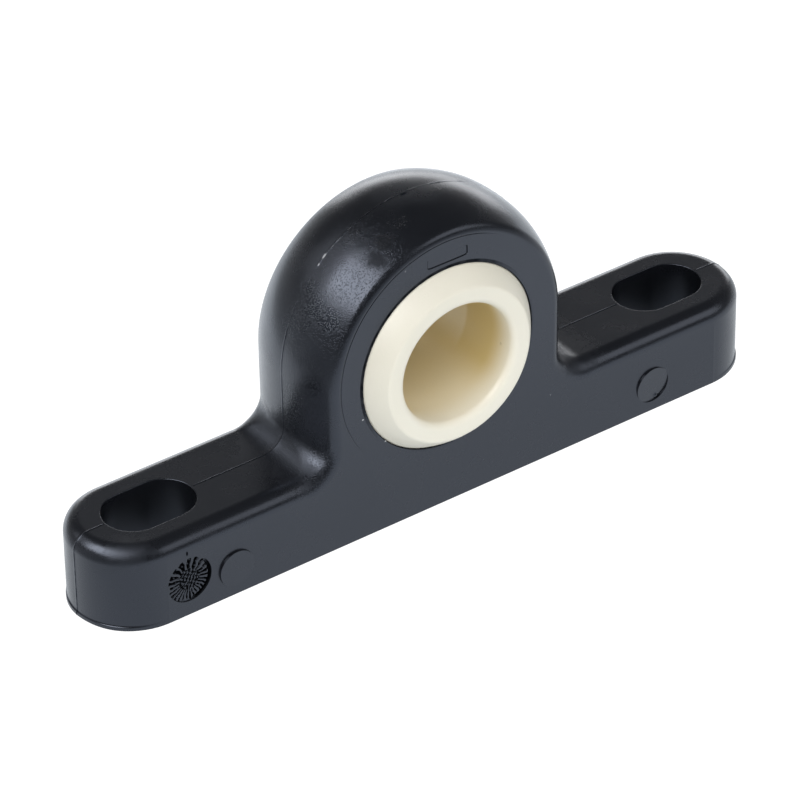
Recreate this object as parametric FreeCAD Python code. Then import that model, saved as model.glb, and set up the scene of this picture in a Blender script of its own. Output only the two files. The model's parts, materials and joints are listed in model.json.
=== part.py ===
import FreeCAD, Part
import math
import os

from FreeCAD import Vector

# A self-aligning pillow block: a moulded housing with two slotted legs and a crowned dome,
# and a spherical ball that carries the shaft and swivels in the dome's seat.
# Millimetres. X runs along the legs, Y along the shaft, Z up from the mounting face.
# The origin is on the mounting face, below the middle of the ball.

# Spherical ball
bore_diameter = 20.0
ball_width = 25.9
ball_land = 3.0            # flat ring round the bore, before the lip is rounded
bore_lip_radius = 1.2
ball_rim_radius = 0.8
seat_clearance = 0.1       # radial, between the ball and its seat

# Dome
shaft_height = 26.35
housing_width = 20.0
crown_wall = 4.94          # from the seat to the top of the crown, on the parting plane
crown_lift = 0.87          # the crown's centre lies this far above the ball's
crown_drop = 3.55          # how far the crown falls from the parting plane to the flat faces
crown_flat = 1.6           # width of the level strip along the parting plane
crease_radius = 1.6        # where the crown turns into the flat faces
neck_drop = 3.7            # the same fall at the foot of the neck

# Legs
leg_height = 14.2
leg_edge_radius = 2.7
corner_radius = 3.6        # between the top of a leg and the neck of the dome
corner_drop = 3.5          # fall from the parting plane to the flat faces, half way round the corner
slot_spacing = 95.6
slot_width = 10.0
slot_length = 15.1
slot_end_wall = 5.75       # from the end of a slot to the end of the leg

# Shallow moulding marks on the front face, sunk or proud
ejector_diameter = 6.2
ejector_spacing = 78.5
ejector_height = 4.75
ejector_rise = 0.3         # the pads stand proud of the face
dial_diameter = 7.7
dial_inset = 13.55         # from the end of the leg to the dial's centre
dial_height = 6.3
dial_depth = 0.35
plate_width = 7.4
plate_height = 1.8
plate_gap = 1.3            # from the lip of the seat to the plate mark
plate_depth = 0.12

# Steps of the loft that turns the leg's section into the neck's, round the corner
corner_steps = 9

# Sizes that follow from those above
half_width = housing_width / 2
leg_flat = housing_width - 2 * leg_edge_radius
crown_run = half_width - crown_flat / 2
crown_turn = 2 * math.atan2(crown_drop - crease_radius, crown_run - crease_radius)
ball_radius = math.hypot(bore_diameter / 2 + ball_land, ball_width / 2)
seat_radius = ball_radius + seat_clearance
mouth_radius = math.sqrt(seat_radius ** 2 - half_width ** 2)
crown_radius = seat_radius + crown_wall
crown_height = shaft_height + crown_lift
base_length = slot_spacing + slot_length + 2 * slot_end_wall
end_centre = base_length / 2 - half_width
corner_start = crown_radius + corner_radius
neck_start = leg_height + corner_radius
ball_centre = Vector(0, 0, shaft_height)
crown_centre = Vector(0, 0, crown_height)
along_x = Vector(1, 0, 0)
along_y = Vector(0, 1, 0)
along_z = Vector(0, 0, 1)


def section(ridge, outward, flat, drop):
    """Open outline across the moulding, through a point of its ridge on the parting plane.

    It is level over the width flat. On each side a long arc turns away by the crown's turn, and a
    second arc, tangent to it, ends square on the flat face, lower by drop. On a leg, where the run is
    as long as the drop, the two make one quarter round.
    """
    run = half_width - flat / 2
    sine = math.sin(crown_turn)
    cosine = math.cos(crown_turn)
    crease = (drop * sine - run * (1 - cosine)) / (sine + cosine - 1)
    radius = crease + (run - crease) / sine

    def at(y, depth):
        return ridge + along_y * y - outward * depth

    def arc(side, centre_y, centre_depth, size, start, end):
        """Arc on one side, between two angles from the outward direction."""
        angles = (start, (start + end) / 2, end)
        points = [(centre_y + size * math.sin(a), centre_depth - size * math.cos(a)) for a in angles]
        return Part.Arc(*[at(side * y, depth) for y, depth in points])

    def fall(side):
        """Both arcs of one side, from the level strip to the flat face."""
        crease_y = flat / 2 + (radius - crease) * sine
        crease_depth = radius - (radius - crease) * cosine
        return [
            arc(side, flat / 2, radius, radius, 0, crown_turn),
            arc(side, crease_y, crease_depth, crease, crown_turn, math.pi / 2),
        ]

    level_front = Part.LineSegment(at(-flat / 2, 0), at(0, 0))
    level_back = Part.LineSegment(at(0, 0), at(flat / 2, 0))
    edges = fall(-1)[::-1] + [level_front, level_back] + fall(1)
    return Part.Wire([edge.toShape() for edge in edges])


def leg_section(x):
    """Section of a leg: a level top with edges rounded into the flat faces."""
    return section(Vector(x, 0, leg_height), along_z, leg_flat, leg_edge_radius)


def corner_section(share):
    """Section of the corner, from the leg's form and place at share 0 to the neck's at share 1."""
    turn = share * math.pi / 2
    outward = Vector(math.sin(turn), 0, math.cos(turn))
    ridge = Vector(corner_start, 0, neck_start) - outward * corner_radius
    ease = (share * share * (3 - 2 * share)) ** 2
    flat = leg_flat + (crown_flat - leg_flat) * ease
    drop = leg_edge_radius + (neck_drop - leg_edge_radius) * share
    bulge = corner_drop - (leg_edge_radius + neck_drop) / 2
    return section(ridge, outward, flat, drop + bulge * 4 * share * (1 - share))


def crown_section():
    """Section of the crown, at the height of its centre."""
    return section(Vector(crown_radius, 0, crown_height), along_x, crown_flat, crown_drop)


def rounded_end():
    """Top, rounded edge and wall of a leg's end: half a leg section turned about the end's axis."""
    top_height = leg_height - leg_edge_radius
    flat_edge = half_width - leg_edge_radius
    lean = leg_edge_radius * math.sqrt(0.5)
    centre_top = Vector(end_centre, 0, leg_height)
    edge_start = Vector(end_centre, -flat_edge, leg_height)
    edge_middle = Vector(end_centre, -flat_edge - lean, top_height + lean)
    edge_end = Vector(end_centre, -half_width, top_height)
    foot = Vector(end_centre, -half_width, 0)
    edges = [
        Part.LineSegment(centre_top, edge_start),
        Part.Arc(edge_start, edge_middle, edge_end),
        Part.LineSegment(edge_end, foot),
    ]
    outline = Part.Wire([edge.toShape() for edge in edges])
    return outline.revolve(centre_top, along_z, 180)


def right_side():
    """Outer surfaces of the right leg, its corner and the neck, up to the crown's centre."""
    leg = leg_section(end_centre).extrude(along_x * (corner_start - end_centre))
    corner_sections = [corner_section(step / corner_steps) for step in range(corner_steps + 1)]
    corner = Part.makeLoft(corner_sections, False, False)
    neck = Part.makeLoft([corner_section(1), crown_section()], False, True)
    return [rounded_end(), leg, corner, neck]


def flat_side(surfaces, y):
    """Flat front or back face, bounded by the edges of the surfaces that lie on it."""
    def on_face(edge):
        return all(abs(point.y - y) < 1e-4 for point in edge.discretize(5))

    rim = [edge for surface in surfaces for edge in surface.Edges if on_face(edge)]
    foot = Part.makeLine(Vector(-end_centre, y, 0), Vector(end_centre, y, 0))
    return Part.Face(Part.Wire(Part.__sortEdges__(rim + [foot])))


def stadium(length, width, height):
    """Flat face with straight sides along X and full-round ends, at a height."""
    radius = width / 2
    reach = length / 2 - radius

    def at(x, y):
        return Vector(x, y, height)

    edges = [
        Part.LineSegment(at(-reach, -radius), at(reach, -radius)),
        Part.Arc(at(reach, -radius), at(reach + radius, 0), at(reach, radius)),
        Part.LineSegment(at(reach, radius), at(-reach, radius)),
        Part.Arc(at(-reach, radius), at(-reach - radius, 0), at(-reach, -radius)),
    ]
    return Part.Face(Part.Wire([edge.toShape() for edge in edges]))


def outer_form():
    """The housing's closed outer form, before its seat, slots and marks are cut."""
    right = right_side()
    left = [surface.mirror(Vector(0, 0, 0), along_x) for surface in right]
    crown = crown_section().revolve(crown_centre, -along_y, 180)
    surfaces = right + left + [crown]
    sides = [flat_side(surfaces, -half_width), flat_side(surfaces, half_width)]
    foot = stadium(base_length, housing_width, 0)
    shell = Part.makeShell([face for surface in surfaces + sides + [foot] for face in surface.Faces])
    shell.sewShape()
    solid = Part.makeSolid(shell)
    if solid.Volume < 0:
        solid.reverse()
    return solid


def slots():
    """Two bolt slots, cut right through the legs."""
    slot = stadium(slot_length, slot_width, 0).extrude(along_z * leg_height)
    return [slot.translated(along_x * (side * slot_spacing / 2)) for side in (-1, 1)]


def front_disc(x, height, diameter, rise, depth):
    """Disc on the front face, from a rise in front of it to a depth behind it."""
    start = Vector(x, -half_width - rise, height)
    return Part.makeCylinder(diameter / 2, rise + depth, start, along_y)


def ejector_pads():
    """Round pads that the ejectors left on the front of both legs, rooted as deep as they rise."""
    return [
        front_disc(side * ejector_spacing / 2, ejector_height, ejector_diameter, ejector_rise, ejector_rise)
        for side in (-1, 1)
    ]


def recesses():
    """Dial recess on the left leg and plate mark over the ball."""
    dial = front_disc(dial_inset - base_length / 2, dial_height, dial_diameter, 0, dial_depth)
    plate_foot = shaft_height + mouth_radius + plate_gap
    corner = Vector(-plate_width / 2, -half_width, plate_foot)
    plate = Part.makeBox(plate_width, plate_depth, plate_height, corner)
    return [dial, plate]


def housing():
    """One moulding: legs, neck and crown, with the ball's seat open on both faces."""
    seat = Part.makeSphere(seat_radius, ball_centre, along_y)
    return outer_form().cut([seat] + slots() + recesses()).fuse(ejector_pads())


def bend(x, y, radius, start, end):
    """Arc in the XY plane about a centre, from one angle to another."""
    angles = (start, (start + end) / 2, end)
    return Part.Arc(*[Vector(x + radius * math.cos(a), y + radius * math.sin(a), 0) for a in angles])


def spherical_ball():
    """Ball cut flat at both ends and bored, with rounded lips and rims: its outline turned about the shaft."""
    half = ball_width / 2
    bore = bore_diameter / 2
    lip = bore_lip_radius
    lip_x = bore + lip
    lip_y = half - lip
    rim = ball_rim_radius
    rim_y = half - rim
    rim_x = math.sqrt((ball_radius - rim) ** 2 - rim_y ** 2)
    rim_turn = math.atan2(rim_y, rim_x)
    outline = [
        bend(0, 0, ball_radius, -rim_turn, rim_turn),
        bend(rim_x, rim_y, rim, rim_turn, math.pi / 2),
        Part.LineSegment(Vector(rim_x, half, 0), Vector(lip_x, half, 0)),
        bend(lip_x, lip_y, lip, math.pi / 2, math.pi),
        Part.LineSegment(Vector(bore, lip_y, 0), Vector(bore, -lip_y, 0)),
        bend(lip_x, -lip_y, lip, math.pi, 1.5 * math.pi),
        Part.LineSegment(Vector(lip_x, -half, 0), Vector(rim_x, -half, 0)),
        bend(rim_x, -rim_y, rim, -math.pi / 2, -rim_turn),
    ]
    face = Part.Face(Part.Wire([edge.toShape() for edge in outline]))
    return face.revolve(Vector(0, 0, 0), along_y, 360).translated(ball_centre)


os.makedirs("parts", exist_ok=True)
housing().exportStep("parts/housing.step")
spherical_ball().exportStep("parts/spherical_ball.step")
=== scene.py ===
import json
import math

import bmesh
import bpy
import numpy as np
from mathutils import Matrix, Vector
from mathutils.geometry import delaunay_2d_cdt


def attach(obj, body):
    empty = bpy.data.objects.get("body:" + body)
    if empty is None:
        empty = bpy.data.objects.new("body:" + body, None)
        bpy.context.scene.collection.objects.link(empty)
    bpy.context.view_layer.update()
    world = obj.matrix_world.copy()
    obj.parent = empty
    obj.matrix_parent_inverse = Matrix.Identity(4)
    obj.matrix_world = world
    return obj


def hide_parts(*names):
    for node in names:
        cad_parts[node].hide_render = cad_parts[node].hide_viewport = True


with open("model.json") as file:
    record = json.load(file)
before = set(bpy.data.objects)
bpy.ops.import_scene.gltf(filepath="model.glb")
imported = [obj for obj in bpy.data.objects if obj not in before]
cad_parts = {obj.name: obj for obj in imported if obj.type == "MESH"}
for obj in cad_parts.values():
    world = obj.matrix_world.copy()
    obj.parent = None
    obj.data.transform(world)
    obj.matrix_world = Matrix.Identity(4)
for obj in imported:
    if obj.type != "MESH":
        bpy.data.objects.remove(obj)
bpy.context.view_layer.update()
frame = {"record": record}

# A self-aligning pillow block: a black moulded housing and the cream ball that swivels in its seat.
# Sizes are in millimetres, in the frame's axes: X along the legs, Y along the shaft, Z up.
METRES = 0.001
WELD_DECIMALS = 4          # points that agree to this many decimals of a millimetre are one

# Sizes that the record states
mounts = {mount["name"]: mount for mount in frame["record"]["mounts"]}
bore_radius = mounts["shaft_bore"]["dims"]["r_mm"]
shaft_height = mounts["shaft_bore"]["pos_m"][2] / METRES
slot_spacing = mounts["mounting_slots"]["dims"]["spacing_x_mm"]
slot_radius = mounts["mounting_slots"]["dims"]["hole_r_mm"]
slot_length = mounts["mounting_slots"]["dims"]["slot_length_mm"]

# Ball
ball_half_width = 12.95
ball_land = 3.0
bore_lip_radius = 1.2
ball_rim_radius = 0.8
seat_clearance = 0.1

# Housing
half_width = 10.0
crown_wall = 4.94
crown_lift = 0.87
crown_drop = 3.55
crown_flat = 1.6
crease_radius = 1.6        # where the crown turns into the flat faces
neck_drop = 3.7
leg_height = 14.2
leg_edge_radius = 2.7
corner_radius = 3.6
corner_drop = 3.5
slot_end_wall = 5.75
slot_rim_radius = 0.15
face_run_on = 0.36         # how far the flat faces run on past the start of the round ends
mouth_lip_radius = 0.16
mouth_shade = (0.42, 0.5)  # strip of the face along the lip, painted dark as the gap's shadow

# Moulding marks
seam_y = 0.03              # parting line, along the ridge and down the ends
seam_half = 0.16
seam_rise = 0.045
upper_crown = 8.0          # over the crown's centre by this much, the parting line is worn to dashes
dark_seam_x = -12.5        # left of this, high on the crown, the parting line's painted shade is paler
lip_top = 0.75             # thin lip of flash round the foot of an end
lip_rise = 0.18
dial_centre = (-47.55, 6.3)
dial_radius = 3.85
dial_depth = 0.35
dial_strokes = 24
mark_wall = 0.05           # run of the steep walls round the marks
ejector_radius = 3.1
ejector_rise = 0.3
left_ejector = (-39.25, 4.75)
right_ejector = (39.25, 4.75)
plate_centre = (0.0, 44.05)
plate_half = (3.7, 0.9)
plate_depth = 0.12
insert_radius = 19.68
insert_reach = (math.radians(58), math.radians(222))
insert_half = 0.12
insert_depth = 0.05

# Worn spots of the housing: centres and half lengths
# White scuffs on the parting line, and flecks of flash on the face
white_spots = [
    ((-16.25, -0.1, 44.05), (0.25, 0.16, 0.4)),
    ((-15.1, 0.05, 45.1), (0.55, 0.2, 0.55)),
    ((-15.84, -10.0, 21.5), (0.25, 0.2, 0.14)),
    ((-11.73, -10.0, 15.91), (0.32, 0.2, 0.14)),
]
# Faint pale dashes along the parting line
dash_spots = [
    ((-13.6, 0.0, 46.25), (0.4, 0.12, 0.35)),
    ((-12.5, 0.0, 46.98), (0.7, 0.12, 0.55)),
    ((-10.5, 0.0, 48.12), (0.6, 0.12, 0.4)),
    ((-3.9, 0.0, 50.3), (0.35, 0.12, 0.2)),
    ((0.95, 0.05, 50.62), (0.8, 0.14, 0.2)),
    ((4.1, 0.05, 50.3), (0.6, 0.12, 0.2)),
]
# Areas with fine pale flecks
fleck_spots = [
    ((-10.9, -1.6, 47.9), (2.2, 2.0, 1.4)),
    ((-14.6, 0.0, 45.6), (1.9, 0.5, 1.7)),
    ((-5.2, -5.0, 49.5), (2.4, 1.4, 1.2)),
    ((-8.6, -5.6, 48.0), (2.2, 1.6, 1.6)),
    ((-25.4, 1.0, 14.6), (1.6, 2.2, 0.8)),
]
# Dark smudges
smudge_spots = [
    ((-10.9, -7.2, 46.5), (2.6, 2.6, 1.5)),
    ((-8.9, -6.0, 48.0), (2.4, 2.2, 1.5)),
]
# Areas with less gloss: both corners and the left leg's end
dull_spots = [
    ((-25.0, -1.0, 15.8), (7.0, 13.0, 5.0)),
    ((25.0, -4.0, 15.8), (7.0, 15.0, 5.0)),
    ((-56.2, -7.4, 13.3), (5.0, 4.5, 3.5)),
]
# Black nicks: on the crown's parting line and over the dial
nick_spots = [
    ((-0.85, -0.35, 50.6), (1.0, 0.4, 0.3)),
    ((-47.86, -10.0, 11.2), (0.22, 0.3, 0.5)),
]

# Sizes that follow
leg_flat = 2 * (half_width - leg_edge_radius)
crown_run = half_width - crown_flat / 2
crown_turn = 2 * math.atan2(crown_drop - crease_radius, crown_run - crease_radius)
ball_radius = math.hypot(bore_radius + ball_land, ball_half_width)
seat_radius = ball_radius + seat_clearance
crown_radius = seat_radius + crown_wall
crown_height = shaft_height + crown_lift
end_centre = slot_spacing / 2 + slot_length / 2 + slot_end_wall - half_width
corner_start = crown_radius + corner_radius
neck_start = leg_height + corner_radius

# Rows and columns of the surfaces
fall_columns = 36
level_columns = 6
corner_rows = 30
neck_rows = 10
crown_rows = 72
leg_rows = 12
end_rows = 40
slot_rows = 6
insert_rows = 200
turn_columns = 192
MIRROR = np.array([-1, 1, 1])
fall_share = 1 - (1 - np.linspace(0, 1, fall_columns)) ** 2
level_share = np.linspace(0, 1, level_columns)
seam_share = np.array([-1, -0.65, -0.35, 0, 0.35, 0.65, 1])
seam_first = fall_columns + level_columns - 2
seam_last = seam_first + len(seam_share) - 1


def smooth_step(low, high, value):
    """0 below low and 1 above high, with an even S-curve between."""
    share = np.clip((value - low) / (high - low), 0, 1)
    return share * share * (3 - 2 * share)


def bump(share):
    """1 at share 0, falling to 0 at share -1 and 1 as a squared cosine."""
    return np.cos(np.clip(share, -1, 1) * math.pi / 2) ** 2


def place(x, y, z):
    """Points from three arrays that broadcast together."""
    return np.stack(np.broadcast_arrays(x, y, z), axis=-1).astype(float)


class Skin:
    """Patches of one closed surface, in millimetres, welded along the rims that they share."""

    def __init__(self):
        self.points = []
        self.shades = []
        self.grains = []
        self.faces = []
        self.smooth = []
        self.size = 0

    def add(self, points, shade_and_marks, grain, faces, smooth):
        """Keeps points and the faces between them. A triangle is a quad with its last corner twice."""
        self.points.append(points.reshape(-1, 3))
        self.shades.append(np.broadcast_to(shade_and_marks, points.shape[:-1]).reshape(-1))
        self.grains.append(np.broadcast_to(grain, points.shape[:-1]).reshape(-1))
        self.faces.append(faces + self.size)
        self.smooth.append(np.full(len(faces), smooth))
        self.size += points.size // 3

    def grid(self, points, closed=False, shade_and_marks=0.0, grain=0.0):
        """Quads between the rows and columns of points; closed joins the last column to the first.

        The painted shade, from 0 to 1, darkens a groove, seam, wall or recess, and the grain says how
        rough it is.
        """
        rows, columns = points.shape[:2]
        index = np.arange(rows * columns).reshape(rows, columns)
        if closed:
            index = np.hstack([index, index[:, :1]])
        corners = [index[:-1, :-1], index[:-1, 1:], index[1:, 1:], index[1:, :-1]]
        self.add(points, shade_and_marks, grain, np.stack(corners, axis=-1).reshape(-1, 4), True)

    def plate(self, axes, rim, *holes):
        """Flat face within a rim and outside some holes, triangulated in the plane of two axes.

        A triangle is kept if a line from its middle crosses the loops an odd number of times.
        """
        loops = [rim, *holes]
        points = np.vstack(loops)
        flat = points[:, axes]
        sizes = [len(loop) for loop in loops]
        ends = np.concatenate([np.roll(np.arange(size), -1) for size in sizes])
        ends += np.repeat(np.cumsum(sizes) - sizes, sizes)
        edges = np.stack([np.arange(len(points)), ends], axis=-1)
        corners = [Vector(point) for point in flat]
        _, _, made, sources, _, _ = delaunay_2d_cdt(corners, edges.tolist(), [], 0, 1e-7)
        triangles = np.array([ids[0] for ids in sources])[np.array(made)]
        middle = flat[triangles].mean(axis=1)[:, None, :]
        low, high = flat, flat[ends]
        spans = (low[:, 1] > middle[..., 1]) != (high[:, 1] > middle[..., 1])
        rise = np.where(high[:, 1] == low[:, 1], 1, high[:, 1] - low[:, 1])
        cross = low[:, 0] + (middle[..., 1] - low[:, 1]) * (high[:, 0] - low[:, 0]) / rise
        inside = (spans & (cross > middle[..., 0])).sum(axis=1) % 2 == 1
        kept = triangles[inside]
        self.add(points, 0.0, 0.0, np.hstack([kept, kept[:, 2:]]), False)

    def piece(self, name, material):
        """The welded mesh as an object in metres, with its faces pointing outwards.

        A face that the weld leaves with fewer than three corners is dropped.
        """
        points = np.vstack(self.points)
        rounded = np.round(points, WELD_DECIMALS)
        _, kept, same = np.unique(rounded, axis=0, return_index=True, return_inverse=True)
        faces = same.reshape(-1)[np.vstack(self.faces)]
        smooth = np.concatenate(self.smooth)
        ordered = np.sort(faces, axis=1)
        corners = 1 + (np.diff(ordered, axis=1) > 0).sum(axis=1)
        mesh = bpy.data.meshes.new(name)
        whole = faces[corners > 2].tolist()
        mesh.from_pydata((points[kept] * METRES).tolist(), [], [list(dict.fromkeys(f)) for f in whole])
        work = bmesh.new()
        work.from_mesh(mesh)
        bmesh.ops.recalc_face_normals(work, faces=work.faces)
        work.to_mesh(mesh)
        work.free()
        mesh.set_sharp_from_angle(angle=math.radians(50))
        mesh.polygons.foreach_set("use_smooth", smooth[corners > 2])
        # point attributes: the painted shade, and the grain
        for label, values in (("shade_and_marks", self.shades), ("grain", self.grains)):
            attribute = mesh.attributes.new(label, "FLOAT", "POINT")
            attribute.data.foreach_set("value", np.concatenate(values)[kept].astype(np.float32))
        mesh.materials.append(material)
        piece = bpy.data.objects.new(name, mesh)
        bpy.context.scene.collection.objects.link(piece)
        return piece


def chain(*runs):
    """One closed loop of points from runs that follow each other, with no point twice in a row."""
    points = np.vstack(runs)
    apart = np.linalg.norm(points - np.roll(points, 1, axis=0), axis=1) > 1e-6
    return points[apart]


def rim_of(points):
    """The loop round the outside of a grid."""
    return chain(points[0], points[:, -1], points[-1, ::-1], points[::-1, 0])


def edge_fall(flat, drop):
    """Half of a section's side, from its level strip to the flat face: distances along Y and depths.

    A long arc leaves the strip level and turns away by the crown's turn, and a second arc, tangent to
    it, ends square on the face. On a leg the two make one quarter round.
    """
    run = half_width - flat / 2
    sine = math.sin(crown_turn)
    cosine = math.cos(crown_turn)
    crease = (drop * sine - run * (1 - cosine)) / (sine + cosine - 1)
    radius = crease + (run - crease) / sine
    long_length = radius * crown_turn
    walk = fall_share * (long_length + crease * (math.pi / 2 - crown_turn))
    first = np.minimum(walk, long_length) / radius
    second = crown_turn + np.maximum(walk - long_length, 0) / crease
    y = flat / 2 + radius * np.sin(first) + crease * (np.sin(second) - sine)
    depth = radius * (1 - np.cos(first)) + crease * (cosine - np.cos(second))
    return y, depth


def seam_wear(along):
    """How much of the parting line is left at a length along it: slow waves, with a few short gaps."""
    waves = 0.75 + 0.25 * np.sin(0.9 * along + 1.3) * np.sin(0.37 * along)
    gaps = smooth_step(0.93, 0.99, np.sin(0.61 * along) * np.sin(1.7 * along + 0.4))
    return waves * (1 - gaps)


def ridge_path():
    """Ridge from the right leg to the left one: x, z, outward x and z, level width and side drop.

    A quarter circle climbs from the leg into the neck while the leg's broad level top narrows,
    the neck goes straight up, and the crown is a half circle. The left half mirrors the right.
    """
    share = np.linspace(0, 1, corner_rows)
    turn = share * math.pi / 2
    ease = smooth_step(0, 1, share) ** 2
    bulge = corner_drop - (leg_edge_radius + neck_drop) / 2
    drop = leg_edge_radius + (neck_drop - leg_edge_radius) * share + bulge * 4 * share * (1 - share)
    corner = np.array([
        corner_start - corner_radius * np.sin(turn),
        neck_start - corner_radius * np.cos(turn),
        np.sin(turn),
        np.cos(turn),
        leg_flat + (crown_flat - leg_flat) * ease,
        drop,
    ])
    climb = np.linspace(0, 1, neck_rows)[1:-1]
    still = np.ones_like(climb)
    neck = np.array([
        crown_radius * still,
        neck_start + (crown_height - neck_start) * climb,
        still,
        0 * still,
        crown_flat * still,
        neck_drop + (crown_drop - neck_drop) * climb,
    ])
    angle = np.linspace(0, math.pi / 2, crown_rows)
    crown = np.array([
        crown_radius * np.cos(angle),
        crown_height + crown_radius * np.sin(angle),
        np.cos(angle),
        np.sin(angle),
        np.full_like(angle, crown_flat),
        np.full_like(angle, crown_drop),
    ])
    right = np.hstack([corner, neck, crown])
    left = right[:, -2::-1] * np.array([[-1], [1], [-1], [1], [1], [1]])
    return np.hstack([right, left])


def ridge_band():
    """Corners, necks and crown: the section, with the parting line on it, carried along the ridge.

    The line is left as dashes high on the crown, where a product of two sines along it is high.
    The grain is strongest on the left and in front, and fades before the crease.
    """
    x, z, out_x, out_z, flat, drop = ridge_path()[..., None]
    fall_y, fall_depth = edge_fall(flat, drop)
    front = -flat / 2 + (seam_y - seam_half + flat / 2) * level_share[:-1]
    middle = np.broadcast_to(seam_y + seam_half * seam_share, (len(x), len(seam_share)))
    back = seam_y + seam_half + (flat / 2 - seam_y - seam_half) * level_share[1:]
    level_y = np.hstack([front, middle, back])
    step = np.hypot(np.diff(x, axis=0, prepend=x[:1]), np.diff(z, axis=0, prepend=z[:1]))
    along = np.cumsum(step, axis=0)
    dashes = smooth_step(0.1, 0.35, np.sin(2.3 * along) * np.sin(0.9 * along + 2))
    low_down = z < crown_height + upper_crown
    worn = seam_wear(along) * np.where(low_down, 1, 0.4 + 0.6 * dashes)
    seam = bump((level_y - seam_y) / seam_half) * worn
    y = np.hstack([-fall_y[:, ::-1], level_y[:, 1:-1], fall_y])
    depth = np.hstack([fall_depth[:, ::-1], -seam_rise * seam[:, 1:-1], fall_depth])
    # the parting line is painted dark as shade, in paler dashes high on the crown's left
    dark = np.where(low_down | (x > dark_seam_x), 0.9, 0.6 * dashes)
    shade_and_marks = np.hstack([0 * fall_depth, (dark * seam)[:, 1:-1], 0 * fall_depth])
    over_corner = np.where(x < 0, 1, 0.05 + 0.95 * smooth_step(neck_start, neck_start + 0.6, z))
    off_crease = 1 - smooth_step(0.7, 0.95, depth / drop)
    front_side = 1 - 0.7 * smooth_step(-1, 3, y)
    left_side = 1 - 0.75 * smooth_step(-9, -1, x)
    grain = over_corner * off_crease * front_side * left_side
    return place(x - out_x * depth, y, z - out_z * depth), shade_and_marks, grain


def end_angles():
    """Angles round a leg's end, from the front face to the back one, close together at the seam."""
    seam_angle = seam_y / half_width
    reach = seam_half / half_width
    front = np.linspace(-math.pi / 2, seam_angle - reach, end_rows)
    back = np.linspace(seam_angle + reach, math.pi / 2, end_rows)
    return np.concatenate([front[:-1], seam_angle + reach * seam_share, back[1:]])


def end_seam(angle):
    """How far each angle round a leg's end lies on the parting line, from 0 to 1."""
    return bump((angle - seam_y / half_width) * half_width / seam_half)


def leg_edge_band():
    """Rounded edge of the right leg: a quarter round carried along the front, round the end and back."""
    y, depth = edge_fall(np.array([[leg_flat]]), np.array([[leg_edge_radius]]))
    out = np.linspace(corner_start, end_centre, leg_rows)[:-1]
    angle = end_angles()
    centre = np.concatenate([out, np.full_like(angle, end_centre), out[::-1]])[:, None]
    facing = np.concatenate([0 * out - math.pi / 2, angle, 0 * out + math.pi / 2])[:, None]
    seam = np.concatenate([0 * out, end_seam(angle), 0 * out])[:, None]
    sine = (y - leg_flat / 2) / leg_edge_radius
    cosine = 1 - depth / leg_edge_radius
    reach = y + seam_rise * seam * sine
    height = leg_height - depth + seam_rise * seam * cosine
    # the parting line over the edge is painted dark as shade
    return place(centre + reach * np.cos(facing), reach * np.sin(facing), height), 0.6 * seam


def end_wall():
    """Upright half-round wall of the right leg's end, with the seam and the flash line near its foot.

    Its first and last columns run on along the flat faces, where the two lie almost together.
    """
    upper = np.linspace(leg_height - leg_edge_radius, lip_top + 0.3, 24)
    lower = np.linspace(lip_top + 0.1, 0, 15)
    z = np.concatenate([upper, lower])[:, None]
    angle = end_angles()[None, :]
    window = 1 - smooth_step(0.6, 0.97, np.abs(angle) / (math.pi / 2))
    wave = 0.8 + 0.2 * np.sin(7 * angle)
    seam = end_seam(angle)
    lip = lip_rise * smooth_step(0, 0.25, lip_top - z) * window * wave
    line = bump((z - lip_top) / 0.11) * window * wave
    dashes = 0.3 + 0.7 * smooth_step(-0.2, 0.2, np.sin(3.1 * z) * np.sin(1.3 * z + 1))
    radius = half_width + seam_rise * seam + lip
    points = place(end_centre + radius * np.cos(angle), radius * np.sin(angle), z)
    points[1:, [0, -1], 0] += face_run_on
    # the seam's dashes and a line along the top of the flash lip are painted dark as shade
    return points, np.maximum(np.minimum(3 * dashes * seam, 1), line)


def slot_wall():
    """Wall of the right bolt slot: a stadium carried down, with a small quarter round at its top rim."""
    arc = np.linspace(-math.pi / 2, math.pi / 2, 40)
    angle = np.concatenate([arc, arc + math.pi])[None, :]
    reach = slot_length / 2 - slot_radius
    centre = slot_spacing / 2 + reach * np.repeat([1, -1], len(arc))[None, :]
    turn = np.linspace(0, math.pi / 2, 7)[:, None]
    radius = slot_radius + slot_rim_radius * np.vstack([1 - np.sin(turn), np.zeros((slot_rows - 1, 1))])
    rim_z = leg_height - slot_rim_radius * (1 - np.cos(turn))
    wall_z = np.linspace(leg_height - slot_rim_radius, 0, slot_rows)[1:, None]
    z = np.vstack([rim_z, wall_z])
    return place(centre + radius * np.cos(angle), radius * np.sin(angle), z)


def seam_strip(start, end_x):
    """Parting line on a leg's level top: from a row of points at its start, fading out at end_x."""
    share = np.linspace(0, 1, 12)[:, None]
    end_y = seam_y + seam_half * seam_share
    x = start[:, 0] + (end_x - start[:, 0]) * share
    y = start[:, 1] + (end_y - start[:, 1]) * share
    z = leg_height + (start[:, 2] - leg_height) * (1 - smooth_step(0.93, 1, share))
    return place(x, y, z)


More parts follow.
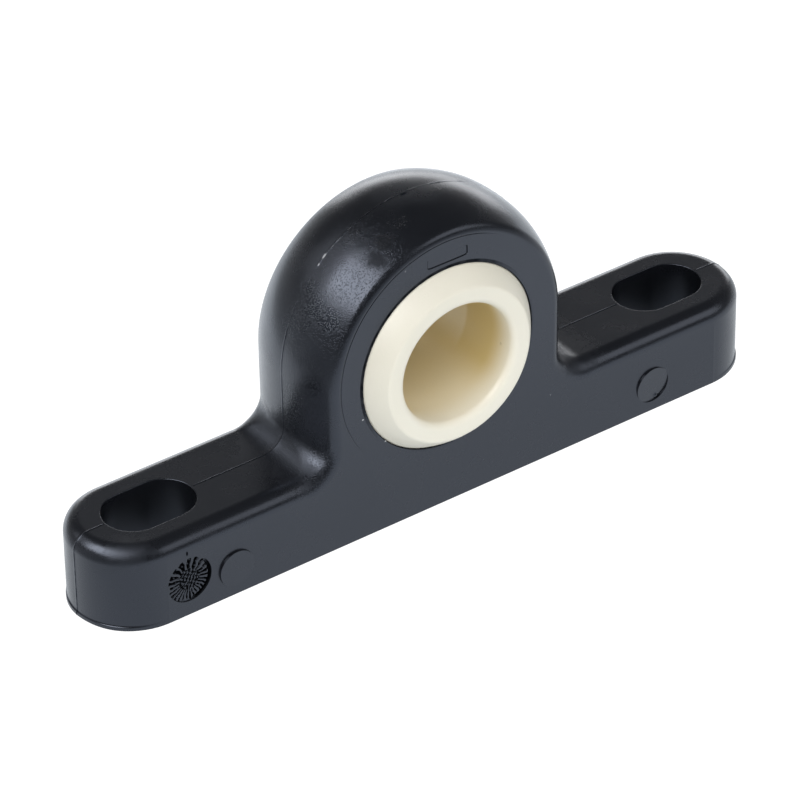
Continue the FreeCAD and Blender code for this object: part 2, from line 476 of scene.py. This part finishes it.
def add_leg(skin, ridge, side):
    """Right leg, or the left one as its mirror image: edge, end, slot, seam and level top."""
    flip = np.ones(3) if side > 0 else MIRROR

    def put(points, closed=False, shade_and_marks=0.0, grain=0.0):
        skin.grid(points * flip, closed, shade_and_marks, grain)

    edge, edge_shade = leg_edge_band()
    wall, wall_shade = end_wall()
    slot = slot_wall()
    start = ridge[0 if side > 0 else -1] * flip
    gap = 0.25 + slot_rim_radius
    slot_near = slot_spacing / 2 - slot_length / 2 - gap
    slot_far = slot_spacing / 2 + slot_length / 2 + gap
    first = leg_rows - 1 + end_rows - 1
    last = first + len(seam_share) - 1
    inner = seam_strip(start[seam_first:seam_last + 1], slot_near)
    outer = seam_strip(edge[first:last + 1, 0], slot_far)
    back_start = start[seam_last:len(start) - fall_columns + 1][::-1]
    front_start = start[fall_columns - 1:seam_first + 1][::-1]
    rim = chain(
        edge[:first + 1, 0], outer[:, 0], outer[-1], outer[::-1, -1], edge[last:, 0],
        back_start, inner[:, -1], inner[-1, ::-1], inner[::-1, 0], front_start,
    )
    put(edge, shade_and_marks=edge_shade, grain=0.3 * bump(np.linspace(-1, 1, fall_columns)))
    put(wall, shade_and_marks=wall_shade)
    # the slot's wall is painted darker as shade further down
    put(slot, closed=True, shade_and_marks=0.38 * smooth_step(0.1, 0.9, leg_height - slot[..., 2]))
    # the parting line on the level top is painted dark as shade
    put(inner, shade_and_marks=bump(seam_share))
    put(outer, shade_and_marks=bump(seam_share))
    skin.plate([0, 1], rim * flip, slot[0] * flip)


def face_rim(ridge, side):
    """Loop round the front flat face, side 0, or the back one, side -1."""
    edge = leg_edge_band()[0]
    wall = end_wall()[0][::-1, side]
    straight = edge[leg_rows - 1::-1, -1] if side == 0 else edge[-leg_rows:, -1]
    right = np.vstack([wall, straight])
    return chain(right, ridge[:, side], (right * MIRROR)[::-1])


def on_front(x, z, depth):
    """Points on the front face, sunk into it by a depth."""
    return place(x, depth - half_width, z)


def disc(centre, radius, form, rings=26, spokes=144):
    """Round mark on the front face: rings and spokes, with a depth for each radius and angle.

    The first ring lies on the face and the second one at the foot of a steep wall.
    """
    inner = np.linspace(radius - mark_wall, 0, rings)
    reach = np.concatenate([[radius], inner])[:, None]
    angle = np.linspace(0, 2 * math.pi, spokes, endpoint=False)[None, :]
    depth, shade_and_marks = np.where(reach < radius, form(reach, angle), 0)
    return on_front(centre[0] + reach * np.cos(angle), centre[1] + reach * np.sin(angle), depth), shade_and_marks


def dial_form(reach, angle):
    """Date dial: a recess with strokes cut round a ring, closer at the foot, and a rough hub.

    A stroke is where the cosine of an angle that runs unevenly is high, between two uneven radii.
    Products of sines break the strokes and roughen the hub.
    """
    x = reach * np.cos(angle)
    z = reach * np.sin(angle)
    uneven = 0.2 * np.sin(5 * angle + 1) + 0.12 * np.sin(11 * angle)
    width = 0.35 * np.sin(angle) + 0.25 * np.sin(7 * angle)
    waver = 0.5 * np.sin(2.7 * reach + 3 * angle) + 0.5 * np.sin(4.1 * x + 2) * np.sin(3.7 * z + 1)
    stroke = smooth_step(-0.2, 0.4, np.cos(dial_strokes * angle + 9 * np.cos(angle) + waver) + width)
    broken = 1 - 0.8 * smooth_step(0.35, 0.75, np.sin(6.3 * x + 2 * z) * np.sin(5.7 * z - 1.1 * x + 1))
    start = 1.75 + 0.3 * np.sin(9 * angle + 2)
    ring = smooth_step(start - 0.15, start, reach) * (1 - smooth_step(0, 0.2, reach - 3.6 - uneven))
    shadow = smooth_step(3.3, 3.5, reach) * smooth_step(0.35, 0.75, np.cos(angle + 0.35))
    hub = 1 - smooth_step(1.7, 1.9, reach)
    blobs = np.sin(7.1 * x + 2.2 * z + 1) * np.sin(6.7 * z - 1.9 * x + 2)
    ripples = 0.7 * np.sin(11 * x - 8 * z + 2 * np.sin(4 * z))
    crumbs = smooth_step(-0.35, 0.25, blobs + ripples)
    # the strokes, the hub's crumbs and a painted shadow crescent at the right rim are painted dark as
    # shade
    shade_and_marks = np.maximum(np.maximum(stroke * broken * ring, 0.85 * crumbs * hub), 0.9 * shadow)
    return dial_depth * (0.55 + 0.95 * shade_and_marks), shade_and_marks


def left_pad(reach, angle):
    """Ejector pad: a disc that stands proud of the face, a little more at its upper left."""
    lean = 0.95 + 0.25 * np.cos(angle - 2.1) * reach / ejector_radius
    return -ejector_rise * lean, 0 * lean


def right_pad(reach, angle):
    """Ejector pad that leans: proud of the face at its upper left, sunk at its right, with a nub."""
    lean = 0.12 + np.cos(angle - 2.2) * reach / ejector_radius
    x = reach * np.cos(angle) - 0.75
    z = reach * np.sin(angle) + 2.35
    nub = np.exp(-(x * x + z * z) / 0.09)
    return -ejector_rise * lean - 0.25 * nub, 0 * lean


def plate_mark():
    """Bar mark over the ball: inset rounded oblongs, sunk along a steep wall, closed at the middle."""
    angle = np.linspace(0, 2 * math.pi, 160, endpoint=False)[None, :]
    inset = np.array([0, 1, 2.6, 3.6, 3.6, 3.6])[:, None] * mark_wall
    size = np.array([1, 1, 1, 1, 0.5, 0])[:, None]
    power = 0.22
    x = (plate_half[0] - inset) * size * np.sign(np.cos(angle)) * np.abs(np.cos(angle)) ** power
    z = (plate_half[1] - inset) * size * np.sign(np.sin(angle)) * np.abs(np.sin(angle)) ** power
    depth = plate_depth * (inset > 0)
    ends = smooth_step(0.9, 0.96, np.abs(x) / plate_half[0])
    # the wall at the ends and along the lower side is painted dark as shade
    line = np.array([0, 1, 1, 0, 0, 0])[:, None] * np.maximum(0.6 * ends, 0.5 * (z < -0.5))
    return on_front(plate_centre[0] + x, plate_centre[1] + z, depth), line


def insert_line():
    """Fine groove left by the mould's insert: an arc inside the crown's crease, fading at both ends."""
    angle = np.linspace(*insert_reach, insert_rows)[:, None]
    across = np.linspace(-1, 1, 9)[None, :]
    share = np.linspace(0, 1, insert_rows)[:, None]
    fade = smooth_step(0, 0.12, share) * (1 - smooth_step(0.85, 1, share))
    radius = insert_radius + insert_half * across
    x = radius * np.cos(angle)
    z = crown_height + radius * np.sin(angle)
    groove = bump(across) * fade
    # the groove is painted dark as shade
    return on_front(x, z, insert_depth * groove), 0.45 * groove


def turned(reach, y):
    """A profile of radii and places along Y, turned about the shaft's axis."""
    angle = np.linspace(0, 2 * math.pi, turn_columns, endpoint=False)[None, :]
    reach = reach[:, None]
    return place(reach * np.cos(angle), y[:, None], shaft_height + reach * np.sin(angle))


def seat():
    """Spherical seat with a small round at both lips, tangent to the flat faces.

    The round runs on past the sphere, into a fine groove behind each lip that the ball hides at rest.
    """
    lip_y = half_width - mouth_lip_radius
    lip_reach = math.sqrt((seat_radius + mouth_lip_radius) ** 2 - lip_y ** 2)
    latitude = math.atan2(lip_y, lip_reach)
    turn = np.linspace(1.5 * math.pi, latitude, 9)
    strip = lip_reach + np.array(mouth_shade[::-1])
    front_reach = np.concatenate([strip, lip_reach + mouth_lip_radius * np.cos(turn)])
    front_y = np.concatenate([0 * strip - half_width, mouth_lip_radius * np.sin(turn) - lip_y])
    sweep = np.linspace(-latitude, latitude, 40)[1:-1]
    reach = np.concatenate([front_reach, seat_radius * np.cos(sweep), front_reach[::-1]])
    y = np.concatenate([front_y, seat_radius * np.sin(sweep), -front_y[::-1]])
    return turned(reach, y)


def seat_shade(mouth):
    """Painted shade of the seat and its lips: least at the lower right, with a painted shadow strip at the
    upper left.
    """
    upper_left = 2.2
    angle = np.arctan2(mouth[..., 2] - shaft_height, mouth[..., 0])
    away = np.abs(np.angle(np.exp(1j * (angle - upper_left))))
    waver = 0.8 + 0.2 * np.sin(17 * angle) * np.sin(41 * angle + 1)
    strip = (1 - smooth_step(0.9, 1.7, away)) * waver
    inside = smooth_step(0, 0.05, half_width - np.abs(mouth[..., 1]))
    shade = np.maximum(inside * (1 - 0.75 * smooth_step(1.6, 2.3, away)), strip)
    shade[[0, -1]] = 0
    return shade


def housing(material):
    """One moulding: ridge band, legs, seat, marks and the flat faces between them."""
    skin = Skin()
    ridge, ridge_shade, ridge_grain = ridge_band()
    mouth = seat()
    skin.grid(ridge, shade_and_marks=ridge_shade, grain=ridge_grain)
    skin.grid(mouth, closed=True, shade_and_marks=seat_shade(mouth))
    add_leg(skin, ridge, 1)
    add_leg(skin, ridge, -1)
    marks = [
        disc(dial_centre, dial_radius, dial_form, rings=46, spokes=320),
        disc(left_ejector, ejector_radius, left_pad),
        disc(right_ejector, ejector_radius, right_pad),
        plate_mark(),
    ]
    for mark, shade_and_marks in marks:
        skin.grid(mark, closed=True, shade_and_marks=shade_and_marks)
    groove, insert_shade = insert_line()
    skin.grid(groove, shade_and_marks=insert_shade)
    holes = [mouth[0], rim_of(groove)] + [mark[0] for mark, shade_and_marks in marks]
    skin.plate([0, 2], face_rim(ridge, 0), *holes)
    skin.plate([0, 2], face_rim(ridge, -1), mouth[-1])
    foot = end_wall()[0][-1]
    slot = slot_wall()[-1]
    skin.plate([0, 1], chain(foot, (foot * MIRROR)[::-1]), slot, slot * MIRROR)
    return skin.piece("housing_moulding", material)


def ball(material):
    """Ball cut flat at both ends and bored: sphere, rounded rims, end faces, rounded lips and bore."""
    lip_y = ball_half_width - bore_lip_radius
    lip_reach = bore_radius + bore_lip_radius
    rim_y = ball_half_width - ball_rim_radius
    rim_reach = math.sqrt((ball_radius - ball_rim_radius) ** 2 - rim_y ** 2)
    latitude = math.atan2(rim_y, rim_reach)
    globe = np.linspace(0, latitude, 30)
    rim = np.linspace(latitude, math.pi / 2, 10)[1:]
    lip = np.linspace(math.pi / 2, math.pi, 18)
    reach = np.concatenate([
        ball_radius * np.cos(globe),
        rim_reach + ball_rim_radius * np.cos(rim),
        lip_reach + bore_lip_radius * np.cos(lip),
        np.full(12, bore_radius),
    ])
    y = np.concatenate([
        ball_radius * np.sin(globe),
        rim_y + ball_rim_radius * np.sin(rim),
        lip_y + bore_lip_radius * np.sin(lip),
        np.linspace(lip_y, 0, 13)[1:],
    ])
    both_reach = np.concatenate([reach, reach[-2::-1]])
    both_y = np.concatenate([y, -y[-2::-1]])
    skin = Skin()
    skin.grid(turned(both_reach, both_y), closed=True)
    return skin.piece("ball_moulding", material)


# Materials

def add_node(tree, kind, inputs=None, **settings):
    """New node with its settings, and each named input linked to a socket or set to a value."""
    node = tree.nodes.new(kind)
    for name, value in settings.items():
        setattr(node, name, value)
    for name, value in (inputs or {}).items():
        if isinstance(value, bpy.types.NodeSocket):
            tree.links.new(value, node.inputs[name])
        else:
            node.inputs[name].default_value = value
    return node


def math_node(tree, operation, first, second):
    """Value of a sum, product or other operation on two sockets or numbers."""
    return add_node(tree, "ShaderNodeMath", {0: first, 1: second}, operation=operation).outputs[0]


def remap(tree, value, low, high, to_low, to_high):
    """Value carried smoothly from one range to another."""
    inputs = {"Value": value, "From Min": low, "From Max": high, "To Min": to_low, "To Max": to_high}
    node = add_node(tree, "ShaderNodeMapRange", inputs, interpolation_type="SMOOTHSTEP")
    return node.outputs["Result"]


def mix_colour(tree, share, first, second):
    """Colour mixed from two by a share. The node's colour sockets are reached by number."""
    inputs = {0: share, 6: first, 7: second}
    return add_node(tree, "ShaderNodeMix", inputs, data_type="RGBA").outputs[2]


def noise(tree, vector, scale, detail=2.0, roughness=0.5):
    """Value of a noise texture."""
    inputs = {"Vector": vector, "Scale": scale, "Detail": detail, "Roughness": roughness}
    return add_node(tree, "ShaderNodeTexNoise", inputs).outputs["Fac"]


def new_group(name, inputs, outputs):
    """Shader node group with named sockets, and its tree and input node."""
    tree = bpy.data.node_groups.new(name, "ShaderNodeTree")
    for socket, kind in inputs.items():
        tree.interface.new_socket(socket, in_out="INPUT", socket_type=kind)
    for socket, kind in outputs.items():
        tree.interface.new_socket(socket, in_out="OUTPUT", socket_type=kind)
    return tree, tree.nodes.new("NodeGroupInput")


def moulded_grain():
    """Skin of a moulded polymer: fine pimples as a height, and a roughness that drifts in patches."""
    tree, given = new_group(
        "moulded_grain",
        {
            "Vector": "NodeSocketVector",
            "Grain Scale": "NodeSocketFloat",
            "Patch Scale": "NodeSocketFloat",
            "Roughness": "NodeSocketFloat",
            "Drift": "NodeSocketFloat",
        },
        {"Height": "NodeSocketFloat", "Roughness": "NodeSocketFloat", "Patch": "NodeSocketFloat"},
    )
    sized = {"Vector": given.outputs["Vector"], "Scale": given.outputs["Grain Scale"]}
    cells = add_node(tree, "ShaderNodeTexVoronoi", sized).outputs["Distance"]
    pimples = remap(tree, cells, 0.1, 0.5, 1.0, 0.0)
    patch = noise(tree, given.outputs["Vector"], given.outputs["Patch Scale"], 3.0, 0.55)
    drift = math_node(tree, "MULTIPLY", math_node(tree, "SUBTRACT", patch, 0.5), given.outputs["Drift"])
    roughness = math_node(tree, "ADD", given.outputs["Roughness"], drift)
    add_node(tree, "NodeGroupOutput", {"Height": pimples, "Roughness": roughness, "Patch": patch})
    return tree


def stray_specks():
    """Mask of small ragged specks, in the few cells of a pattern whose colour picks them."""
    tree, given = new_group(
        "stray_specks",
        {"Vector": "NodeSocketVector", "Scale": "NodeSocketFloat", "Share": "NodeSocketFloat"},
        {"Mask": "NodeSocketFloat"},
    )
    sized = {"Vector": given.outputs["Vector"], "Scale": given.outputs["Scale"]}
    cells = add_node(tree, "ShaderNodeTexVoronoi", sized)
    ragged = noise(tree, given.outputs["Vector"], 9000.0, 1.0)
    far = math_node(tree, "ADD", cells.outputs["Distance"], math_node(tree, "MULTIPLY", ragged, 0.16))
    dot = remap(tree, far, 0.12, 0.2, 1.0, 0.0)
    pick = add_node(tree, "ShaderNodeSeparateColor", {"Color": cells.outputs["Color"]}).outputs["Red"]
    chosen = math_node(tree, "LESS_THAN", pick, given.outputs["Share"])
    add_node(tree, "NodeGroupOutput", {"Mask": math_node(tree, "MULTIPLY", dot, chosen)})
    return tree


def worn_spot():
    """Masks of one worn spot: an ellipsoid about a centre with a ragged rim, and flecks inside it."""
    tree, given = new_group(
        "worn_spot",
        {"Vector": "NodeSocketVector", "Centre": "NodeSocketVector", "Size": "NodeSocketVector"},
        {"Mask": "NodeSocketFloat", "Flecks": "NodeSocketFloat"},
    )
    away = {0: given.outputs["Vector"], 1: given.outputs["Centre"]}
    offset = add_node(tree, "ShaderNodeVectorMath", away, operation="SUBTRACT").outputs[0]
    sized = {0: offset, 1: given.outputs["Size"]}
    scaled = add_node(tree, "ShaderNodeVectorMath", sized, operation="DIVIDE").outputs[0]
    far = add_node(tree, "ShaderNodeVectorMath", {0: scaled}, operation="LENGTH").outputs["Value"]
    coarse = noise(tree, given.outputs["Vector"], 700.0, 4.0, 0.65)
    rim = math_node(tree, "ADD", far, math_node(tree, "MULTIPLY", coarse, 1.8))
    mask = remap(tree, rim, 1.2, 1.9, 1.0, 0.0)
    fine = noise(tree, given.outputs["Vector"], 4600.0, 3.0, 0.6)
    flecks = math_node(tree, "MULTIPLY", mask, remap(tree, fine, 0.56, 0.63, 0.0, 1.0))
    add_node(tree, "NodeGroupOutput", {"Mask": mask, "Flecks": flecks})
    return tree


def new_material(name):
    """Empty node material, with its tree and Object coordinates."""
    material = bpy.data.materials.new(name)
    material.use_nodes = True
    tree = material.node_tree
    tree.nodes.clear()
    return material, tree, tree.nodes.new("ShaderNodeTexCoord").outputs["Object"]


def add_group(tree, group, inputs):
    """A node group placed in a material, with its own values."""
    return add_node(tree, "ShaderNodeGroup", inputs, node_tree=group)


def finish_surface(tree, inputs):
    """Principled surface with these inputs, on the material's output."""
    shader = add_node(tree, "ShaderNodeBsdfPrincipled", inputs)
    add_node(tree, "ShaderNodeOutputMaterial", {"Surface": shader.outputs["BSDF"]})


def worn_share(tree, where, spot_group, spots, output):
    """The highest of the masks of some worn spots, given in millimetres."""
    share = 0.0
    for centre, size in spots:
        inputs = {
            "Vector": where,
            "Centre": [value * METRES for value in centre],
            "Size": [value * METRES for value in size],
        }
        share = math_node(tree, "MAXIMUM", share, add_group(tree, spot_group, inputs).outputs[output])
    return share


def housing_polymer(grain_group, speck_group, spot_group):
    """Satin black polymer: granular skin, patchy gloss, painted black shade along each groove and seam,
    scuffs and a little pale dust.
    """
    material, tree, where = new_material("housing_polymer")
    grain = add_group(tree, grain_group, {
        "Vector": where, "Grain Scale": 4300.0, "Patch Scale": 170.0, "Roughness": 0.26, "Drift": 0.2,
    })
    dust = add_group(tree, speck_group, {"Vector": where, "Scale": 520.0, "Share": 0.02})
    darker, lighter = (0.0048, 0.0054, 0.0072, 1), (0.0068, 0.0075, 0.0095, 1)
    shade_and_mark_black, dust_grey = (0.001, 0.001, 0.001, 1), (0.45, 0.45, 0.46, 1)
    black = mix_colour(tree, grain.outputs["Patch"], darker, lighter)
    # painted shade from the mesh, along each groove, seam, wall and recess
    groove_shade = add_node(tree, "ShaderNodeAttribute", attribute_name="shade_and_marks").outputs["Fac"]
    nicks = worn_share(tree, where, spot_group, nick_spots, "Mask")
    smudges = math_node(tree, "MULTIPLY", worn_share(tree, where, spot_group, smudge_spots, "Mask"), 0.6)
    # painted shade, black nicks and dark smudges in one share
    shade_and_marks = math_node(tree, "MAXIMUM", math_node(tree, "MAXIMUM", groove_shade, nicks), smudges)
    deep = mix_colour(tree, shade_and_marks, black, shade_and_mark_black)
    scuffs = worn_share(tree, where, spot_group, white_spots, "Mask")
    flecks = worn_share(tree, where, spot_group, fleck_spots, "Flecks")
    pale = math_node(tree, "MAXIMUM", math_node(tree, "MULTIPLY", dust.outputs["Mask"], 0.25), scuffs)
    dashes = math_node(tree, "MULTIPLY", worn_share(tree, where, spot_group, dash_spots, "Mask"), 0.13)
    rubbed = math_node(tree, "MAXIMUM", math_node(tree, "MULTIPLY", flecks, 0.08), dashes)
    colour = mix_colour(tree, math_node(tree, "MAXIMUM", pale, rubbed), deep, dust_grey)
    coarse = add_node(tree, "ShaderNodeAttribute", attribute_name="grain").outputs["Fac"]
    pimples = math_node(tree, "MULTIPLY", grain.outputs["Height"], coarse)
    relief = add_node(tree, "ShaderNodeBump", {"Height": pimples, "Strength": 1.0, "Distance": 0.000021})
    matt = math_node(tree, "MULTIPLY", worn_share(tree, where, spot_group, dull_spots, "Mask"), 0.2)
    dull = math_node(tree, "ADD", math_node(tree, "MULTIPLY", shade_and_marks, 0.3), matt)
    dulled = math_node(tree, "ADD", grain.outputs["Roughness"], dull)
    roughness = math_node(tree, "SUBTRACT", dulled, math_node(tree, "MULTIPLY", pimples, 0.1))
    finish_surface(tree, {
        "Base Color": colour,
        "Roughness": roughness,
        # a black base with Metallic takes the sheen out of the painted shade and the dark marks
        "Metallic": shade_and_marks,
        "Normal": relief.outputs["Normal"],
        "IOR": 1.5,
        "Specular IOR Level": 0.62,
        "Specular Tint": (0.76, 0.83, 1.0, 1),
    })
    return material


def ball_polymer(grain_group, speck_group):
    """Cream bearing polymer: smooth, with faint mottling, a few dark specks and a bore browned by painted
    shade.

    The painted shade fades over the rounded lips and, as painted light, towards the foot of the bore, most
    in front, and a little in a patch deep inside, as a painted pale reflection.
    """
    material, tree, where = new_material("ball_polymer")
    grain = add_group(tree, grain_group, {
        "Vector": where, "Grain Scale": 2200.0, "Patch Scale": 180.0, "Roughness": 0.42, "Drift": 0.12,
    })
    specks = add_group(tree, speck_group, {"Vector": where, "Scale": 300.0, "Share": 0.035})
    darker, lighter = (0.80, 0.765, 0.645, 1), (0.83, 0.795, 0.685, 1)
    # colour of the painted shade in the bore, and of the real specks
    bore_shade_brown, speck_brown = (0.55, 0.425, 0.185, 1), (0.25, 0.19, 0.12, 1)
    cream = mix_colour(tree, grain.outputs["Patch"], darker, lighter)
    axis = (0, 0, -shaft_height * METRES)
    centred = add_node(tree, "ShaderNodeVectorMath", {0: where, 1: axis}, operation="ADD").outputs[0]
    flattened = add_node(tree, "ShaderNodeVectorMath", {0: centred, 1: (1, 0, 1)}, operation="MULTIPLY")
    reach = add_node(tree, "ShaderNodeVectorMath", {0: flattened.outputs[0]}, operation="LENGTH")
    bore = bore_radius * METRES
    half = ball_half_width * METRES
    lip = bore + 0.95 * bore_lip_radius * METRES
    # painted shade: the bore is browned inside, fading over the rounded lips
    in_bore = remap(tree, reach.outputs["Value"], bore, lip, 1.0, 0.0)
    axes = add_node(tree, "ShaderNodeSeparateXYZ", {"Vector": centred}).outputs
    off_middle = math_node(tree, "ABSOLUTE", axes["Y"], 0.0)
    # painted light: less shade towards the foot of the bore, most in front
    foot = remap(tree, axes["Y"], -11.5 * METRES, 4.0 * METRES, 0.42, 0.8)
    shade_by_height = remap(tree, axes["Z"], -bore, -0.5 * bore, foot, 1.0)
    inside = remap(tree, off_middle, 0.55 * half, 1.02 * half, 1.0, 0.0)
    deep = math_node(tree, "MULTIPLY", in_bore, inside)
    # painted pale reflection: less shade in a patch deep inside
    far_end = remap(tree, axes["Y"], -1.7 * METRES, -0.7 * METRES, 1.0, 0.72)
    patch = remap(tree, axes["Z"], -7.0 * METRES, -3.0 * METRES, 1.0, far_end)
    bore_shade = math_node(tree, "MULTIPLY", math_node(tree, "MULTIPLY", deep, shade_by_height), patch)
    base = mix_colour(tree, bore_shade, cream, bore_shade_brown)
    speck_share = math_node(tree, "MULTIPLY", specks.outputs["Mask"], 0.35)
    colour = mix_colour(tree, speck_share, base, speck_brown)
    pimples = grain.outputs["Height"]
    relief = add_node(tree, "ShaderNodeBump", {"Height": pimples, "Strength": 0.25, "Distance": 0.00003})
    finish_surface(tree, {
        "Base Color": colour,
        "Roughness": grain.outputs["Roughness"],
        "Normal": relief.outputs["Normal"],
        "IOR": 1.5,
    })
    return material


# Studio

def studio_floor():
    """Pale floor that glows like a light table, brighter behind the object, and takes its shadow."""
    material, tree, where = new_material("studio_floor")
    path = tree.nodes.new("ShaderNodeLightPath").outputs
    by_camera = path["Is Camera Ray"]
    weight = remap(tree, path["Is Glossy Ray"], 0.0, 1.0, 0.84, 1.0)
    axes = add_node(tree, "ShaderNodeSeparateXYZ", {"Vector": where}).outputs
    behind = axes["Y"]
    near = remap(tree, behind, -0.14, -0.055, 0.47, 1.21)
    shade = remap(tree, behind, -0.05, -0.015, 0.0, -0.27)
    left_side = remap(tree, axes["X"], -0.1, -0.07, 0.25, 1.0)
    right_side = remap(tree, axes["X"], 0.09, 0.13, 1.0, 0.7)
    aside = math_node(tree, "MULTIPLY", left_side, right_side)
    front = math_node(tree, "ADD", near, shade)
    sheen = math_node(tree, "ADD", front, remap(tree, behind, 0.0, 0.1, 0.0, 0.85))
    weighed = math_node(tree, "MULTIPLY", math_node(tree, "MULTIPLY", sheen, aside), weight)
    level = remap(tree, by_camera, 0.0, 1.0, weighed, 1.0)
    tint = mix_colour(tree, by_camera, (0.89, 0.945, 1, 1), (1, 1, 1, 1))
    glow = add_node(tree, "ShaderNodeEmission", {"Color": tint, "Strength": level})
    paint = add_node(tree, "ShaderNodeBsdfDiffuse", {"Color": (0.22, 0.22, 0.22, 1)})
    lit = add_node(tree, "ShaderNodeAddShader", {0: glow.outputs[0], 1: paint.outputs[0]})
    add_node(tree, "ShaderNodeOutputMaterial", {"Surface": lit.outputs[0]})
    reach = 6.0
    mesh = bpy.data.meshes.new("studio_floor")
    corners = [(-reach, -reach, 0), (reach, -reach, 0), (reach, reach, 0), (-reach, reach, 0)]
    mesh.from_pydata(corners, [], [(0, 1, 2, 3)])
    mesh.materials.append(material)
    floor = bpy.data.objects.new("studio_floor", mesh)
    floor.location.z = -0.0002
    bpy.context.scene.collection.objects.link(floor)


def direction(azimuth, elevation):
    """Unit vector from the object, at an azimuth from -Y towards +X and an elevation, in degrees."""
    a = math.radians(azimuth)
    e = math.radians(elevation)
    return Vector((math.sin(a) * math.cos(e), -math.cos(a) * math.cos(e), math.sin(e)))


def softbox(name, azimuth, elevation, distance, width, height, radiance, mirrored=True, washed=True):
    """Soft rectangular lamp that faces the object, hidden from the camera.

    It shows in glossy surfaces if mirrored, and lights matt ones if washed.
    """
    lamp = bpy.data.lights.new(name, "AREA")
    lamp.shape = "RECTANGLE"
    lamp.size = width
    lamp.size_y = height
    lamp.energy = radiance * math.pi * width * height
    box = bpy.data.objects.new(name, lamp)
    towards = direction(azimuth, elevation)
    box.location = Vector((0, 0, 0.02)) + towards * distance
    box.rotation_euler = towards.to_track_quat("Z", "Y").to_euler()
    box.visible_camera = False
    box.visible_glossy = mirrored
    box.visible_diffuse = washed
    bpy.context.scene.collection.objects.link(box)


def studio_world():
    """White to the camera, and for light a dim room with a paler band low down behind the object."""
    world = bpy.data.worlds.new("studio")
    bpy.context.scene.world = world
    world.use_nodes = True
    tree = world.node_tree
    tree.nodes.clear()
    sky = tree.nodes.new("ShaderNodeTexCoord").outputs["Generated"]
    axes = add_node(tree, "ShaderNodeSeparateXYZ", {"Vector": sky}).outputs
    low = remap(tree, axes["Z"], 0.0, 0.4, 1.0, 0.0)
    band = math_node(tree, "MULTIPLY", low, remap(tree, axes["Y"], -0.4, 0.3, 0.0, 0.42))
    above = remap(tree, axes["Z"], 0.6, 0.85, 0.14, 0.12)
    level = math_node(tree, "ADD", band, above)
    room = add_node(tree, "ShaderNodeBackground", {"Color": (1, 1, 1, 1), "Strength": level})
    white = add_node(tree, "ShaderNodeBackground", {"Color": (1, 1, 1, 1), "Strength": 1.0})
    camera = tree.nodes.new("ShaderNodeLightPath").outputs["Is Camera Ray"]
    mixed = add_node(tree, "ShaderNodeMixShader", {0: camera, 1: room.outputs[0], 2: white.outputs[0]})
    add_node(tree, "ShaderNodeOutputWorld", {"Surface": mixed.outputs[0]})


def studio_camera():
    """Camera at the photograph's view: from the front left, above, with a slight roll."""
    azimuth, elevation, roll = -35.613, 34.916, math.radians(-0.923)
    distance = 779.402
    target = Vector((-1.8706, 0, 13.6539))
    focal_pixels, image_pixels = 5133.84, 800
    back = direction(azimuth, elevation)
    level = Vector((0, 0, 1)).cross(back).normalized()
    upright = back.cross(level)
    right = level * math.cos(roll) + upright * math.sin(roll)
    up = upright * math.cos(roll) - level * math.sin(roll)
    data = bpy.data.cameras.new("camera")
    data.sensor_width = 36.0
    data.lens = data.sensor_width * focal_pixels / image_pixels
    data.clip_start = 0.05
    data.clip_end = 50.0
    camera = bpy.data.objects.new("camera", data)
    turn = Matrix((right, up, back)).transposed().to_4x4()
    camera.matrix_world = Matrix.Translation((target + back * distance) * METRES) @ turn
    bpy.context.scene.collection.objects.link(camera)
    bpy.context.scene.camera = camera


def dress():
    """Both mouldings with their finishes, on the bodies that carry them."""
    grain = moulded_grain()
    specks = stray_specks()
    block = housing(housing_polymer(grain, specks, worn_spot()))
    swivel = ball(ball_polymer(grain, specks))
    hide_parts("housing")
    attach(block, "housing")
    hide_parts("spherical_ball")
    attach(swivel, "ball")


def set_studio():
    """Floor, lamps, world and camera.

    A lamp has an azimuth and elevation in degrees, a distance, width and height in metres, and a radiance.
    """
    studio_floor()
    softbox("key", -88, 47, 0.9, 0.86, 0.56, 6.5, washed=False)
    softbox("side", -134, 38, 1.2, 0.8, 0.7, 0.75)
    softbox("fill", 38, 30, 1.2, 0.8, 0.6, 1.5)
    softbox("front_wash", -58, 30, 1.2, 1.0, 0.8, 2.5, mirrored=False)
    softbox("top_wash", -5, 54, 1.2, 1.0, 0.8, 2.85, mirrored=False)
    softbox("back_glow", 140, 5, 1.6, 1.6, 0.5, 2.7)
    softbox("back_top", 144, 38, 1.2, 0.6, 0.36, 0.17, washed=False)
    studio_world()
    studio_camera()
    bpy.context.scene.view_settings.view_transform = "Standard"


dress()
set_studio()
